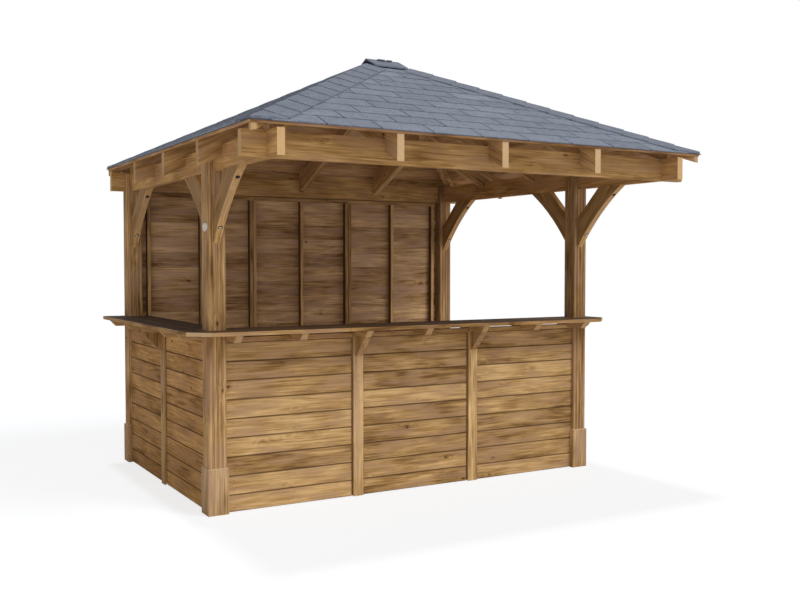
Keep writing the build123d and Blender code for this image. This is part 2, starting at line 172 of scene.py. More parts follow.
def from_nearest_post(wire, place):
    """Measure X and Y from the middle of the nearest post, so that all posts look alike."""
    across, along, up = place.split()
    from_front = wire.sum("ABSOLUTE", along - front_post_y)
    from_back = wire.sum("ABSOLUTE", along - back_post_y)
    nearest = wire.sum("MINIMUM", from_front, from_back)
    aside = wire.sum("ABSOLUTE", across - roof_middle_x) - post_reach
    return wire.make("ShaderNodeCombineXYZ", {}, {0: aside, 1: nearest, 2: up})


def timber_finish(name, grain, level=(1, 1, 1), planked=False, guide=None, ends=0.8, shaded_top=0.0,
                  shaded_sides=0.0, shaded_edges=0.0, shaded_joints=False):
    """Brown treated softwood, planed, whose grain runs along one direction of the bar."""
    finish, wire, shader = blank_finish(name)
    turn = [radians(angle) for angle in grain_turns[grain]]
    place = wire.make("ShaderNodeTexCoord", {}, {}, 3)
    if guide:
        place = guide(wire, place)
    turned = wire.make("ShaderNodeMapping", {}, {"Vector": place, "Rotation": turn})

    def drawn_out(share):
        """The place, drawn out along the grain."""
        return wire.make("ShaderNodeVectorMath", {"operation": "MULTIPLY"},
                         {0: turned, 1: (share, 1, 1)})

    def grained(share, scale, detail):
        """Noise that is drawn out along the grain."""
        return wire.make("ShaderNodeTexNoise", {}, {
            "Vector": drawn_out(share), "Scale": scale, "Detail": detail})

    if planked:
        shade = wire.make("ShaderNodeAttribute", {"attribute_name": "plank"}, {}, 2)
        apart = wire.make("ShaderNodeCombineXYZ", {}, {
            axis: shade * step for axis, step in enumerate(plank_steps)})
        turned = wire.make("ShaderNodeVectorMath", {"operation": "ADD"}, {0: turned, 1: apart})
    else:
        shade = grained(0.1, 2.6, 1.0)
    wander = wire.make("ShaderNodeTexNoise", {}, {
        "Vector": turned, "Scale": 28.0, "Detail": 2.0}, 1)
    bent = wire.make("ShaderNodeVectorMath", {"operation": "MULTIPLY_ADD"}, {
        0: wander, 1: knot_bend, 2: drawn_out(0.6)})
    knot = wire.make("ShaderNodeTexVoronoi", {}, {"Vector": bent, "Scale": knot_scale})
    cell = Wire(wire.tree, knot.socket.node.outputs[1])
    presence = wire.make("ShaderNodeSeparateColor", {}, {0: cell}).ramp(0.35, 0.85)
    figure = grained(0.04, 9.0, 1.5) + (1 - knot.ramp(0.03, 0.42)) * presence * 0.12
    rings = wire.sum("SINE", figure * (2 * pi * ring_count)) * 0.5 + 0.5
    streak = grained(0.03, 170.0, 3.0)
    band = grained(0.07, 55.0, 3.0)
    patch = grained(0.35, 9.0, 3.0)
    halo = (1 - knot.ramp(0.04, 0.2)) * presence
    tone = (rings * 0.12 + streak * 0.85 + band * 0.75 + patch * 0.9 + shade * 0.36
            - halo * 0.15 - middling_tone)
    colour = wire.make("ShaderNodeValToRGB", {"stops": (
        (0.12, dark_wood), (0.86, pale_wood), (0.48, middle_wood))}, {"Fac": tone})
    rosy = grained(0.22, 15.0, 2.0).ramp(0.44, 0.64)
    colour = wire.blend(rosy * 0.6, colour, rosy_wood)
    eye = (1 - knot.ramp(0.03, 0.09)) * presence
    colour = wire.blend(eye * 0.9, colour, knot_wood)
    normal = wire.make("ShaderNodeNewGeometry", {}, {}, 1)
    facing = normal.split()
    if ends:
        endwise = wire.make("ShaderNodeMapping", {}, {"Vector": normal, "Rotation": turn}).split()
        cut = wire.sum("ABSOLUTE", endwise[0]).ramp(0.55, 0.68)
        colour = wire.blend(cut * ends, colour, sawn_end)
    # Painted shade: faces turned up are darkened, as the counter's top lies under the roof.
    if shaded_top:
        colour = wire.blend(facing[2].ramp(0.8, 0.98) * shaded_top, colour, top_shade_wood)
    # Painted shade on sloped faces, such as the boards' chamfered edges.
    if shaded_edges:
        sloped = wire.sum("ABSOLUTE", facing[2]).ramp(0.3, 0.6)
        colour = wire.blend(sloped * shaded_edges, colour, edge_shade)
    # Painted shade along the joints between a post's laths.
    if shaded_joints:
        spot = from_nearest_post(wire, place).split()
        for reach, toward in zip(spot[:2], facing[:2]):
            wave = wire.sum("ABSOLUTE", wire.sum("SINE", reach * (pi / lath_width)))
            end_on = wire.sum("ABSOLUTE", toward).ramp(0.3, 0.7)
            joint = (1 - wave.ramp(0.3, 0.85)) * (1 - end_on)
            colour = wire.blend(joint * 0.92, colour, lath_joint_shade)
    # Painted shade on faces turned along X, such as the flat sides of braces and battens.
    if shaded_sides:
        sideways = wire.sum("ABSOLUTE", facing[0]).ramp(0.5, 0.9)
        colour = wire.blend(sideways * shaded_sides, colour, side_shade)
    # The level scales a piece's colour: partly its own tone, partly painted light that brightens
    # lit pieces and painted shade that darkens shaded ones.
    if level != (1, 1, 1):
        colour = wire.make("ShaderNodeMix", {"data_type": "RGBA", "blend_type": "MULTIPLY"},
                           {0: 1.0, 6: colour, 7: (*level, 1)}, 2)
    plug(finish, colour, shader, "Base Color")
    plug(finish, 0.65 + streak * 0.25, shader, "Roughness")
    bump = wire.make("ShaderNodeBump", {}, {
        "Strength": 0.35, "Distance": 0.0012, "Height": streak * 0.7 + rings * 0.3 - eye * 0.5})
    plug(finish, bump, shader, "Normal")
    shader.inputs["Specular IOR Level"].default_value = 0.1
    return finish


def dress(finish, *nodes):
    """Give a finish to nodes whose solids show as they are."""
    for node in nodes:
        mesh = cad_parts[node].data
        mesh.materials.clear()
        mesh.materials.append(finish)


# The left posts' colour is lightened and the right posts' darkened: painted light and painted
# shade.
post_light_levels = {"left": (1.12, 1.14, 1.22), "right": (0.86, 0.85, 0.9)}
for side, level in post_light_levels.items():
    dress(timber_finish(f"post_timber_{side}", "z", level=level, shaded_joints=True),
          f"post_front_{side}", f"post_back_{side}")
dress(timber_finish("plinth_timber", "z", level=(0.98, 1.03, 1.2)), "post_plinths")

# Ring beams and braces
# Planed boards on edge are halved over each other above the posts, and curved braces stiffen the
# side beams. The beams' sawn ends stay pale; the braces carry painted shade on their flat sides
# and painted light over the rest.
dress(timber_finish("cross_beam_timber", "x", level=(0.94, 0.91, 0.82)),
      "beam_front", "beam_back", "roof_blocking")
dress(timber_finish("side_beam_timber", "y", level=(1.03, 0.97, 0.86)), "beam_left", "beam_right")
grain_turns["brace"] = (-45, 0, -90)
brace_timber = timber_finish("brace_timber", "brace", level=(1.25, 1.25, 1.2),
                             guide=from_nearest_post, ends=0, shaded_sides=0.45)
dress(brace_timber, "braces_left", "braces_right")

# Bolts
# Each brace is held by two coach bolts in bored recesses on its curved face; each recess is a dark
# disc of painted shade. The lower one's domed head of bright zinc shows; the upper one sits deep
# in its recess, so only the disc of painted shade is drawn there.
bolt_radius = 0.009
bolt_dome = 0.0062
bolt_sink = 0.004
head_lift = 0.001
recess_radius = 0.0145
recess_dome = 0.001
recess_sink = 0.006
beam_low, beam_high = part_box("beam_left")
beam_offset = roof_middle_x - (beam_low.x + beam_high.x) / 2
lower_bolt_z = 1.764
upper_bolt_z = 2.048
lower_bolt_run = 0.126
upper_bolt_run = 0.4245
brace_lean = radians(46.4)


def ridden(piece, *nodes):
    """Let a finished piece ride on the bar, in the place of the nodes that it stands for."""
    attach(piece, "root")
    if nodes:
        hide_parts(*nodes)
    return piece


def kept_mesh(name, shape, finish):
    """Make an object of a bmesh, with its faces outwards and its finish."""
    bmesh.ops.recalc_face_normals(shape, faces=shape.faces)
    mesh = bpy.data.meshes.new(name)
    shape.to_mesh(mesh)
    shape.free()
    mesh.materials.append(finish)
    piece = bpy.data.objects.new(name, mesh)
    bpy.context.collection.objects.link(piece)
    return piece


def metal_finish(name, colour, rough, metallic):
    """Plated or dull metal with fine wear in its roughness."""
    finish, wire, shader = blank_finish(name)
    place = wire.make("ShaderNodeTexCoord", {}, {}, 3)
    wear = wire.make("ShaderNodeTexNoise", {}, {"Vector": place, "Scale": 240.0, "Detail": 2.0})
    worn = tuple(part * 0.8 for part in colour)
    plug(finish, wire.blend(wear.ramp(0.4, 0.7), (*colour, 1), (*worn, 1)), shader, "Base Color")
    plug(finish, rough + wear * 0.2, shader, "Roughness")
    shader.inputs["Metallic"].default_value = metallic
    return finish


def turned_shape(profile, sides=14):
    """Turn a profile of radius and height round the Z axis, as on a lathe."""
    shape = bmesh.new()
    angles = [2 * pi * i / sides for i in range(sides)]
    rings = []
    for radius, height in profile:
        around = angles if radius else angles[:1]
        rings.append([shape.verts.new((radius * cos(angle), radius * sin(angle), height))
                      for angle in around])
    for low, high in zip(rings, rings[1:]):
        for i in range(sides):
            j = (i + 1) % sides
            corners = [low[i % len(low)], low[j % len(low)],
                       high[j % len(high)], high[i % len(high)]]
            shape.faces.new(list(dict.fromkeys(corners)))
    return shape


def start_tree(name, sizes):
    """A geometry tree with a seat for points and a named input for each size."""
    tree = bpy.data.node_groups.new(name, "GeometryNodeTree")
    tree.interface.new_socket(name="Seat", in_out="INPUT", socket_type="NodeSocketGeometry")
    for label, value in sizes.items():
        kind = "NodeSocketInt" if isinstance(value, int) else "NodeSocketFloat"
        tree.interface.new_socket(name=label, in_out="INPUT", socket_type=kind)
    tree.interface.new_socket(name="Geometry", in_out="OUTPUT", socket_type="NodeSocketGeometry")
    entry = tree.nodes.new("NodeGroupInput")
    return Wire(tree), {label: Wire(tree, entry.outputs[label]) for label in ("Seat", *sizes)}


def set_out(wire, points, blank, turn=None, scale=None, seed=3):
    """Set a blank on every point and give each copy its own tone."""
    pattern = wire.make("GeometryNodeObjectInfo", {}, {"Object": blank}, 4)
    feeds = {"Points": points, "Instance": pattern}
    if turn:
        feeds["Rotation"] = turn
    if scale:
        feeds["Scale"] = scale
    copies = wire.make("GeometryNodeInstanceOnPoints", {}, feeds)
    tone = wire.make("FunctionNodeRandomValue", {"data_type": "FLOAT"}, {8: seed}, 1)
    return wire.make("GeometryNodeStoreNamedAttribute", {
        "data_type": "FLOAT", "domain": "INSTANCE"}, {
        "Geometry": copies, "Name": "plank", "Value": tone})


def grow(name, wire, copies, finish, sizes, seat=None):
    """Run a tree with its sizes and keep the result as a plain mesh with a finish."""
    tree = wire.tree
    if not [node for node in tree.nodes if node.type == "GROUP_OUTPUT"]:
        solid = wire.make("GeometryNodeRealizeInstances", {}, {0: copies})
        dressed = wire.make("GeometryNodeSetMaterial", {}, {"Geometry": solid, "Material": finish})
        exit_node = tree.nodes.new("NodeGroupOutput")
        tree.links.new(dressed.socket, exit_node.inputs[0])
    host = bpy.data.objects.new(name + "_seat", seat or bpy.data.meshes.new(name + "_seat"))
    bpy.context.collection.objects.link(host)
    modifier = host.modifiers.new(name, "NODES")
    modifier.node_group = tree
    for item in tree.interface.items_tree:
        if item.in_out == "INPUT" and item.name in sizes:
            modifier[item.identifier] = sizes[item.name]
    evaluated = host.evaluated_get(bpy.context.evaluated_depsgraph_get())
    mesh = bpy.data.meshes.new_from_object(evaluated)
    mesh.name = name
    host.modifiers.clear()
    bpy.data.objects.remove(host)
    mesh.materials.clear()
    mesh.materials.append(finish)
    piece = bpy.data.objects.new(name, mesh)
    bpy.context.collection.objects.link(piece)
    return piece


def bolt_seats(places, lift):
    """The seats of the bolts of all braces at some runs and heights, and the way each one faces."""
    seats = []
    facings = []
    for side in (-1, 1):
        for post_y, way in ((front_post_y, -1), (front_post_y, 1), (back_post_y, -1)):
            for run, height in places:
                facing = Vector((0, way * cos(brace_lean), -sin(brace_lean)))
                seat = Vector((roof_middle_x + side * beam_offset, post_y + way * run, height))
                seats.append(seat + facing * lift)
                facings.append(facing)
    return seats, facings


def bolt_row(name, blank, finish, places, lift):
    """Set a turned blank on every seat, facing out of the brace."""
    seats, facings = bolt_seats(places, lift)
    seat = bpy.data.meshes.new(name + "_seat")
    seat.from_pydata(seats, [], [])
    facing = seat.attributes.new("facing", "FLOAT_VECTOR", "POINT")
    facing.data.foreach_set("vector", [part for way in facings for part in way])
    wire, inputs = start_tree(name, {})
    way = wire.make("GeometryNodeInputNamedAttribute", {"data_type": "FLOAT_VECTOR"},
                    {"Name": "facing"})
    turn = wire.make("FunctionNodeAlignRotationToVector", {"axis": "Z"}, {"Vector": way})
    copies = set_out(wire, inputs["Seat"], blank, turn)
    return ridden(grow(name, wire, copies, finish, {}, seat))


bright_zinc = metal_finish("bright_zinc", (0.72, 0.72, 0.70), rough=0.25, metallic=1.0)
recess_shade = metal_finish("recess_shade", (0.03, 0.018, 0.01), rough=0.7, metallic=0.0)
head_profile = [(0, bolt_dome), (0.005, 0.0052), (0.0078, 0.003), (bolt_radius, 0.0004),
                (bolt_radius, -bolt_sink), (0, -bolt_sink)]
recess_profile = [(0, recess_dome), (recess_radius, 0.0008), (recess_radius, -recess_sink),
                  (0, -recess_sink)]
bolt_head = kept_mesh("bolt_head", turned_shape(head_profile), bright_zinc)
recess = kept_mesh("bolt_recess", turned_shape(recess_profile), recess_shade)
low_bolt = (lower_bolt_run, lower_bolt_z)
high_bolt = (upper_bolt_run, upper_bolt_z)
bolt_row("bolt_recesses", recess, recess_shade, [low_bolt, high_bolt], 0)
bolt_row("bolt_heads", bolt_head, bright_zinc, [low_bolt], head_lift)
for blank in (bolt_head, recess):
    bpy.data.objects.remove(blank)

# Rafters, hips and ridge board
# Sawn softwood rafters are notched over the ring beams, and the hips rise from the corners to a
# short ridge board.
for side in ("front", "back", "left", "right"):
    # The left slope's sawn ends are kept less pale: painted shade, as they face away from the
    # light.
    pale_ends = 0.25 if side == "left" else 0.8
    dress(timber_finish(f"rafter_timber_{side}", side, ends=pale_ends), f"rafters_{side}")
for corner in ("front_left", "front_right", "back_left", "back_right"):
    dress(timber_finish(f"hip_timber_{corner}", corner, ends=0.35), f"hip_{corner}")
dress(timber_finish("ridge_timber", "x"), "ridge_board")

# Roof boarding
# Boards nailed across the rafters close each slope. Their lower edges have a small chamfer, and
# their ends are mitred along the hips.
pitch = radians(25)
deck_thickness = 0.018
deck_board_count = 14
deck_chamfer = 0.003
deck_joint = 0.0012
front_deck_low, front_deck_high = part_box("roof_deck_front")
half_width = (front_deck_high.x - front_deck_low.x) / 2
half_depth = -front_deck_low.y
eave_top = front_deck_low.z + deck_thickness / cos(pitch)
slope_length = half_depth / cos(pitch)
slope_turns = {"front": 0, "right": pi / 2, "back": pi, "left": -pi / 2}
slope_halves = {"front": half_width, "back": half_width, "left": half_depth, "right": half_depth}


def slope_place(side):
    """The place of a slope: X along its eave, Y up the slope, and Z off the boarding's top."""
    eave = half_depth if side in ("front", "back") else half_width
    middle = Matrix.Translation((roof_middle_x, 0, 0)) @ Matrix.Rotation(slope_turns[side], 4, "Z")
    return middle @ Matrix.Translation((0, -eave, eave_top)) @ Matrix.Rotation(pitch, 4, "X")


def tones(count, seed):
    """Even steps of tone from 0 to 1 in a shuffled order."""
    return [(index * 0.618034 + seed * 0.377) % 1 for index in range(count)]


def close_bar(shape, left, right):
    """Close a bar between the outlines of its two ends."""
    shape.faces.new(left)
    shape.faces.new(right[::-1])
    for i in range(len(left)):
        j = (i + 1) % len(left)
        shape.faces.new((left[i], left[j], right[j], right[i]))


def mitred_bar(shape, layer, section, half_eave, tone):
    """Run a section of heights up and off the slope from hip to hip."""
    ends = []
    for way in (-1, 1):
        ends.append([])
        for up, off in section:
            limit = half_eave - (up * cos(pitch) - off * sin(pitch))
            corner = shape.verts.new((way * limit, up, off))
            corner[layer] = tone
            ends[-1].append(corner)
    close_bar(shape, *ends)


board_step = slope_length / deck_board_count
arris = deck_chamfer - deck_thickness
for side, half_eave in slope_halves.items():
    shape = bmesh.new()
    layer = shape.verts.layers.float.new("plank")
    for index, tone in enumerate(tones(deck_board_count, slope_turns[side])):
        low = index * board_step
        high = low + board_step - deck_joint
        section = [(low, 0), (low, arris), (low + deck_chamfer, -deck_thickness),
                   (high - deck_chamfer, -deck_thickness), (high, arris), (high, 0)]
        mitred_bar(shape, layer, section, half_eave, tone)
    shape.transform(slope_place(side))
    grain = "x" if side in ("front", "back") else "y"
    finish = timber_finish(f"roof_boards_{side}", grain, level=(1.0, 0.95, 1.02), planked=True,
                           ends=0)
    boarding = ridden(kept_mesh(f"boarding_{side}", shape, finish), f"roof_deck_{side}")

# Shingles
# Courses of square-cut shingles with slate-grey mineral granules are nailed over the boarding.
# Each tab is a little thicker at its lower edge, and the slots stagger by half a tab.
tab_step = 0.334
tab_slot = 0.009
tab_exposure = 0.1435
tab_tuck = 0.004
tab_butt = 0.009
tab_head = 0.0045
tab_arris = 0.001
tabs_across = 13
thinnest_share = 0.015
tab_seed = 11
front_shift = -0.027
side_shift = 0.25
underlay_thickness = 0.0035
underlay_short_by = 0.002
shingle_overhang = 0.006
course_count = int((slope_length + shingle_overhang) / tab_exposure) + 1
dark_granules = (0.117, 0.13, 0.162)
middle_granules = (0.24, 0.27, 0.335)
pale_granules = (0.428, 0.468, 0.55)


def shingle_finish(name, level):
    """Slate-grey granules on dark bitumen, a little different from tab to tab."""
    finish, wire, shader = blank_finish(name)
    place = wire.make("ShaderNodeTexCoord", {}, {}, 3)
    tone = wire.make("ShaderNodeAttribute", {"attribute_name": "plank"}, {}, 2)
    grain = wire.make("ShaderNodeTexVoronoi", {}, {"Vector": place, "Scale": 420.0}, 1)
    speckle = wire.make("ShaderNodeSeparateColor", {}, {0: grain})
    cloud = wire.make("ShaderNodeTexNoise", {}, {"Vector": place, "Scale": 16.0, "Detail": 4.0})
    mottle = wire.make("ShaderNodeTexNoise", {}, {"Vector": place, "Scale": 75.0, "Detail": 2.0})
    fleck = speckle * 0.45 + cloud * 0.35 + mottle * 0.5 + tone * 0.16 - 0.17
    stops = tuple((at, tuple(part * level for part in colour)) for at, colour in (
        (0.1, dark_granules), (0.95, pale_granules), (0.52, middle_granules)))
    colour = wire.make("ShaderNodeValToRGB", {"stops": stops}, {"Fac": fleck})
    plug(finish, colour, shader, "Base Color")
    plug(finish, 0.82 + speckle * 0.12, shader, "Roughness")
    bump = wire.make("ShaderNodeBump", {}, {"Strength": 0.6, "Distance": 0.0012,
                                            "Height": speckle * 0.6 + mottle * 0.4})
    plug(finish, bump, shader, "Normal")
    shader.inputs["Specular IOR Level"].default_value = 0.2
    return finish


shingle_grey = shingle_finish("shingle_granules", level=0.81)
# The underlay that shows in the slots is far darker than the tabs: painted shade in the slots.
slot_grey = shingle_finish("shingle_underlay", level=0.3)
tab_half = (tab_step - tab_slot) / 2
tab_length = tab_exposure + tab_tuck
shape = bmesh.new()
tab_side = [(0, 0), (0, tab_butt - tab_arris), (tab_arris * 2, tab_butt), (tab_length, tab_head),
            (tab_length, 0)]
tab_ends = [[shape.verts.new((way * tab_half, up, off)) for up, off in tab_side] for way in (-1, 1)]
close_bar(shape, *tab_ends)
tab = kept_mesh("tab", shape, shingle_grey)

sizes = {"Courses": course_count, "Tabs": tabs_across, "Tab step": tab_step, "Tab half": tab_half,
         "Exposure": tab_exposure, "Overhang": shingle_overhang, "Half eave": 1.0, "Shift": 0.0,
         "Fall": cos(pitch), "Seed": 1}
wire, given = start_tree("shingle_courses", sizes)
index = wire.make("GeometryNodeInputIndex", {}, {})
course = wire.sum("FLOOR", (index + 0.5) / given["Tabs"])
column = index - course * given["Tabs"]
stagger = wire.sum("FLOORED_MODULO", course, 2.0) * 0.5
middle = (column + stagger + given["Shift"] - (given["Tabs"] - 1) * 0.5) * given["Tab step"]
low = course * given["Exposure"] - given["Overhang"]
limit = given["Half eave"] - (low + given["Exposure"]) * given["Fall"]
left = wire.sum("MAXIMUM", middle - given["Tab half"], limit * -1)
right = wire.sum("MINIMUM", middle + given["Tab half"], limit)
width = right - left
spot = wire.make("ShaderNodeCombineXYZ", {}, {0: (left + right) * 0.5, 1: low, 2: 0.0})
points = wire.make("GeometryNodePoints", {}, {
    "Count": given["Courses"] * given["Tabs"], "Position": spot})
points = wire.make("GeometryNodeStoreNamedAttribute", {"data_type": "FLOAT", "domain": "POINT"}, {
    "Geometry": points, "Name": "stretch", "Value": width / (given["Tab half"] * 2)})
stretch = wire.make("GeometryNodeInputNamedAttribute", {"data_type": "FLOAT"}, {"Name": "stretch"})
too_thin = wire.sum("LESS_THAN", stretch, thinnest_share)
points = wire.make("GeometryNodeDeleteGeometry", {"domain": "POINT"}, {
    "Geometry": points, "Selection": too_thin})
squeeze = wire.make("ShaderNodeCombineXYZ", {}, {0: stretch, 1: 1.0, 2: 1.0})
tabs = set_out(wire, points, tab, scale=squeeze, seed=given["Seed"])
under_end = slope_length - underlay_short_by
under = [(-shingle_overhang, 0), (-shingle_overhang, underlay_thickness),
         (under_end, underlay_thickness), (under_end, 0)]
for side, half_eave in slope_halves.items():
    sizes["Half eave"] = half_eave + shingle_overhang
    sizes["Shift"] = front_shift if side in ("front", "back") else side_shift
    sizes["Seed"] = tab_seed + int(slope_turns[side] * 3)
    piece = grow(f"tabs_{side}", wire, tabs, shingle_grey, sizes)
    shape = bmesh.new()
    layer = shape.verts.layers.float.new("plank")
    mitred_bar(shape, layer, under, half_eave, tone=0.5)
    shape.transform(slope_place(side))
    sheet = kept_mesh(f"underlay_{side}", shape, slot_grey)
    piece.data.transform(slope_place(side))
    for laid in (piece, sheet):
        ridden(laid)
    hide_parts(f"shingles_{side}")
bpy.data.objects.remove(tab)

# Hip caps and ridge cap
# Each hip is covered by bent pieces of the same shingle, lapped upwards from the eave. A longer
# bent piece lies over the short ridge and is open at its ends.
cap_half = 0.15
cap_step = 0.1675
cap_lap = 0.012
cap_lift = 0.005
cap_butt = 0.017
cap_head = 0.012
cap_seed = 21
root_half = sqrt(0.5)
hip_rise = tan(pitch) * root_half
hip_run = half_depth * sqrt(2)
cap_count = int(hip_run / cap_step)


def bent_cap(start, end):
    """One cap of a hip, bent over it, from one distance along the hip to another."""
    shape = bmesh.new()
    layer = shape.verts.layers.float.new("plank")
    rows = []
    for along, off in ((start, cap_butt), (end, cap_head)):
        for lift in (off, cap_lift):
            rows.append([])
            for across in (-cap_half, 0, cap_half):
                reach = max(along, abs(across))
                height = (reach - abs(across)) * hip_rise + lift / cos(pitch)
                rows[-1].append(shape.verts.new((reach, across, height)))
    low_top, low_under, high_top, high_under = rows
    for i in (0, 1):
        shape.faces.new((low_top[i], low_top[i + 1], high_top[i + 1], high_top[i]))
        shape.faces.new((low_under[i], high_under[i], high_under[i + 1], low_under[i + 1]))
        shape.faces.new((low_top[i], low_under[i], low_under[i + 1], low_top[i + 1]))
        shape.faces.new((high_top[i], high_top[i + 1], high_under[i + 1], high_under[i]))
    for i in (0, 2):
        shape.faces.new((low_top[i], high_top[i], high_under[i], low_under[i]))
    return shape


cap_blank = kept_mesh("cap_blank", bent_cap(cap_step, cap_step * 2 + cap_lap), shingle_grey)
sizes = {"Caps": cap_count - 1, "Step": cap_step, "Rise": hip_rise, "Seed": 1}
wire, given = start_tree("hip_cap_row", sizes)
index = wire.make("GeometryNodeInputIndex", {}, {})
spot = wire.make("ShaderNodeCombineXYZ", {}, {
    0: index * given["Step"], 1: 0.0, 2: index * given["Step"] * given["Rise"]})
points = wire.make("GeometryNodePoints", {}, {"Count": given["Caps"], "Position": spot})
copies = set_out(wire, points, cap_blank, seed=given["Seed"])
hip_meshes = []
for number, (facing_x, facing_y) in enumerate(((-1, -1), (1, -1), (1, 1), (-1, 1))):
    sizes["Seed"] = cap_seed + number
    row = grow(f"hip_row_{number}", wire, copies, shingle_grey, sizes)
    start = kept_mesh(f"hip_start_{number}", bent_cap(-shingle_overhang, cap_step + cap_lap),
                      shingle_grey)
    turn = Matrix.Rotation(pi / 4 + number * pi / 2, 4, "Z")
    corner = (roof_middle_x + facing_x * half_width, facing_y * half_depth, eave_top)
    place = Matrix.Translation(corner) @ turn
    for piece in (row, start):
        piece.data.transform(place)
        hip_meshes.append(piece)
shape = bmesh.new()
for piece in hip_meshes:
    shape.from_mesh(piece.data)
    bpy.data.objects.remove(piece)
bpy.data.objects.remove(cap_blank)
caps = ridden(kept_mesh("hip_cap_pieces", shape, shingle_grey), "hip_caps")
dress(shingle_grey, "ridge_cap")

# Wall panels
# Grooved level boards, lapped one behind the other, are screwed to studs and rails between the
# posts, in three bays at the front and back and two at the left. Their edges carry painted shade.
board_pitch = 0.119
board_lap = 0.004
board_thickness = 0.016
board_chamfer = 0.0045
board_joint = 0.0006
board_play = 0.0006
play_seed = 5
board_seed = 31
panel_gap = 0.003
strip_half = 0.036
strip_shadow = 0.008
screw_radius = 0.0032
screw_dome = 0.0006
screw_rim = 0.0002
screw_sink = 0.002
screws_per_bay = 3
screw_from_joint = 0.052
wall_turns = {"front": 0, "back": pi, "left": -pi / 2}
wall_bays = {"front": 3, "back": 3, "left": 2}
# Each wall's boards get a level of their own: painted light on the shaded back wall and warmer
# painted shade on the left.
wall_light_levels = {"front": (1.01, 1.03, 1.03), "back": (1.12, 1.16, 1.4), "left": (1.0, 0.9, 0.74)}


def bevelled_board(name, length, height, thickness, chamfer, finish):
    """A level board about its own middle, chamfered outside and lapped behind the next board."""
    shape = bmesh.new()
    face, back, top = -thickness / 2, thickness / 2, height / 2
    section = [(back, board_lap - top), (0, board_lap - top), (0, -top), (face + chamfer, -top),
               (face, chamfer - top), (face, top - chamfer), (face + chamfer, top), (0, top),
               (0, top + board_lap), (back, top + board_lap)]
    ends = [[shape.verts.new((way * length / 2, y, z)) for y, z in section] for way in (-1, 1)]
    close_bar(shape, *ends)
    return kept_mesh(name, shape, finish)


def wall_grid(name, blank, finish, sizes):
    """Set a blank out in level rows over the bays of a wall, a number of times in each bay."""
    wire, given = start_tree(name, sizes)
    index = wire.make("GeometryNodeInputIndex", {}, {})
    across = given["Bays"] * given["Per bay"]
    row = wire.sum("FLOOR", (index + 0.5) / across)
    column = index - row * across
    bay = wire.sum("FLOOR", (column + 0.5) / given["Per bay"])
    place = column - bay * given["Per bay"]
    start = bay * given["Bay width"] + wire.sum("GREATER_THAN", bay, 0.5) * given["Recess"]
    inner = wire.sum("LESS_THAN", bay, given["Bays"] - 1.5)
    end = (bay + 1) * given["Bay width"] - inner * given["Recess"]
    x = (start + end) * 0.5 - given["Bays"] * given["Bay width"] * 0.5
    x = x + (place - (given["Per bay"] - 1) * 0.5) * given["Spacing"]
    play = wire.make("FunctionNodeRandomValue", {"data_type": "FLOAT"},
                     {2: -board_play, 3: board_play, 8: play_seed}, 1)
    top = given["Height"] - row * given["Row step"]
    foot = wire.sum("MAXIMUM", top - given["Row step"], 0.0)
    spot = wire.make("ShaderNodeCombineXYZ", {}, {0: x, 1: play, 2: (top + foot) * 0.5})
    points = wire.make("GeometryNodePoints", {}, {
        "Count": given["Rows"] * across, "Position": spot})
    cut = wire.make("ShaderNodeCombineXYZ", {}, {
        0: (end - start) / given["Bay width"], 1: 1.0, 2: (top - foot) / given["Row step"]})
    points = wire.make("GeometryNodeStoreNamedAttribute", {
        "data_type": "FLOAT_VECTOR", "domain": "POINT"}, {
        "Geometry": points, "Name": "trim", "Value": cut})
    trimmed = wire.make("GeometryNodeInputNamedAttribute", {"data_type": "FLOAT_VECTOR"},
                        {"Name": "trim"})
    copies = set_out(wire, points, blank, scale=trimmed, seed=given["Seed"])
    return grow(name, wire, copies, finish, sizes)


upright = timber_finish("upright_timber", "z")
# The upright battens' sides carry painted shade.
upright_batten = timber_finish("upright_batten_timber", "z", planked=True, shaded_sides=0.85)
screw_finish = metal_finish("dull_screw", (0.20, 0.15, 0.09), rough=0.45, metallic=1.0)
screw_shape = turned_shape([(0, screw_dome), (screw_radius, screw_rim),
                            (screw_radius, -screw_sink), (0, -screw_sink)], sides=8)
screw_shape.transform(Matrix.Rotation(pi / 2, 4, "X"))
screw = kept_mesh("screw", screw_shape, screw_finish)
for number, (side, turn) in enumerate(wall_turns.items()):
    low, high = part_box(f"cladding_{side}")
    board_recess = 0.0 if side == "back" else strip_half + strip_shadow
    level_length = high.y - low.y if side == "left" else high.x - low.x
    bay_width = (level_length + panel_gap) / wall_bays[side]
    rows = int((high.z - low.z - board_lap) / board_pitch) + 1
    middle = (low + high) / 2
    place = Matrix.Translation((middle.x, middle.y, low.z)) @ Matrix.Rotation(turn, 4, "Z")
    grain = "y" if side == "left" else "x"
    board_timber = timber_finish(f"wall_boards_{side}", grain, wall_light_levels[side], planked=True,
                                 ends=0, shaded_edges=0.6)
    board = bevelled_board(f"board_{side}", bay_width - panel_gap, board_pitch - board_joint,
                           board_thickness, board_chamfer, board_timber)
    sizes = {"Rows": rows, "Bays": wall_bays[side], "Per bay": 1, "Row step": board_pitch,
             "Height": high.z - low.z, "Bay width": bay_width, "Spacing": 0.0,
             "Recess": board_recess, "Seed": board_seed + number}
    boards = wall_grid(f"boards_{side}", board, board_timber, sizes)
    sizes.update({"Rows": rows * 2, "Per bay": screws_per_bay, "Row step": board_pitch / 2,
                  "Spacing": bay_width / 2 - screw_from_joint, "Recess": 0.0, "Seed": 1})
    screws = wall_grid(f"screws_{side}", screw, screw_finish, sizes)
    screws.data.transform(Matrix.Translation((0, -board_thickness / 2, 0)))
    for piece in (boards, screws):
        piece.data.transform(place)
    ridden(boards, f"cladding_{side}")
    ridden(screws)
    bpy.data.objects.remove(board)
    if side != "back":
        dress(timber_finish(f"rail_timber_{side}", grain), f"rails_{side}")
        dress(upright, f"studs_{side}")
bpy.data.objects.remove(screw)

